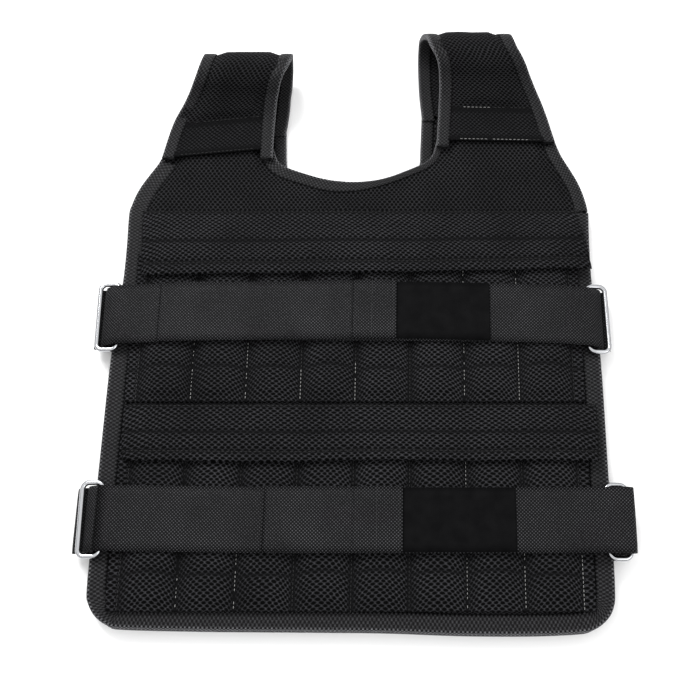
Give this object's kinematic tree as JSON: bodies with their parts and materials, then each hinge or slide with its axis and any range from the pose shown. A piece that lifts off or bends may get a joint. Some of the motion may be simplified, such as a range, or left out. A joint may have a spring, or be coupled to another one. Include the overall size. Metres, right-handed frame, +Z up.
{
  "type": "weighted vest",
  "caption": "Padded mesh vest that lies flat, with rows of flapped weight pockets, folded shoulder straps and webbing belts drawn through wire rings onto hook patches.",
  "frame": {"origin": "middle of the vest's footprint on the floor, at the underside of the back panel", "axes": "+X to the right of someone who looks down at the front with the shoulders away from them, +Y from the hem to the shoulders, +Z up from the floor, out of the front"},
  "size_m": [0.4266, 0.514, 0.05],
  "materials": {
    "mesh_fabric": "black polyester air mesh over foam, staggered oval holes about 5 mm apart",
    "binding_tape": "black ribbed polyester binding tape, sewn",
    "webbing": "black woven polyester webbing with fine ribs across",
    "hook_tape": "black hook tape, matte",
    "chrome": "polished chrome-plated steel wire"
  },
  "bodies": {
    "root": {"back_panel": "mesh_fabric", "front_panel": "mesh_fabric", "front_binding": "binding_tape", "armhole_binding": "binding_tape", "back_binding": "binding_tape", "neck_binding": "binding_tape", "back_neck_binding": "binding_tape", "shoulder_strap_left": "mesh_fabric", "strap_outer_binding_left": "binding_tape", "strap_inner_binding_left": "binding_tape", "shoulder_strap_right": "mesh_fabric", "strap_outer_binding_right": "binding_tape", "strap_inner_binding_right": "binding_tape", "upper_pocket_row": "mesh_fabric", "upper_flap": "mesh_fabric", "lower_pocket_row": "mesh_fabric", "lower_flap": "mesh_fabric", "upper_belt_left": "webbing", "upper_belt_right": "webbing", "lower_belt_left": "webbing", "lower_belt_right": "webbing", "upper_ring_tab_left": "webbing", "upper_ring_tab_right": "webbing", "lower_ring_tab_left": "webbing", "lower_ring_tab_right": "webbing", "upper_hook_patch": "hook_tape", "lower_hook_patch": "hook_tape", "upper_ring_left": "chrome", "upper_ring_right": "chrome", "lower_ring_left": "chrome", "lower_ring_right": "chrome"}
  },
  "joints": []
}
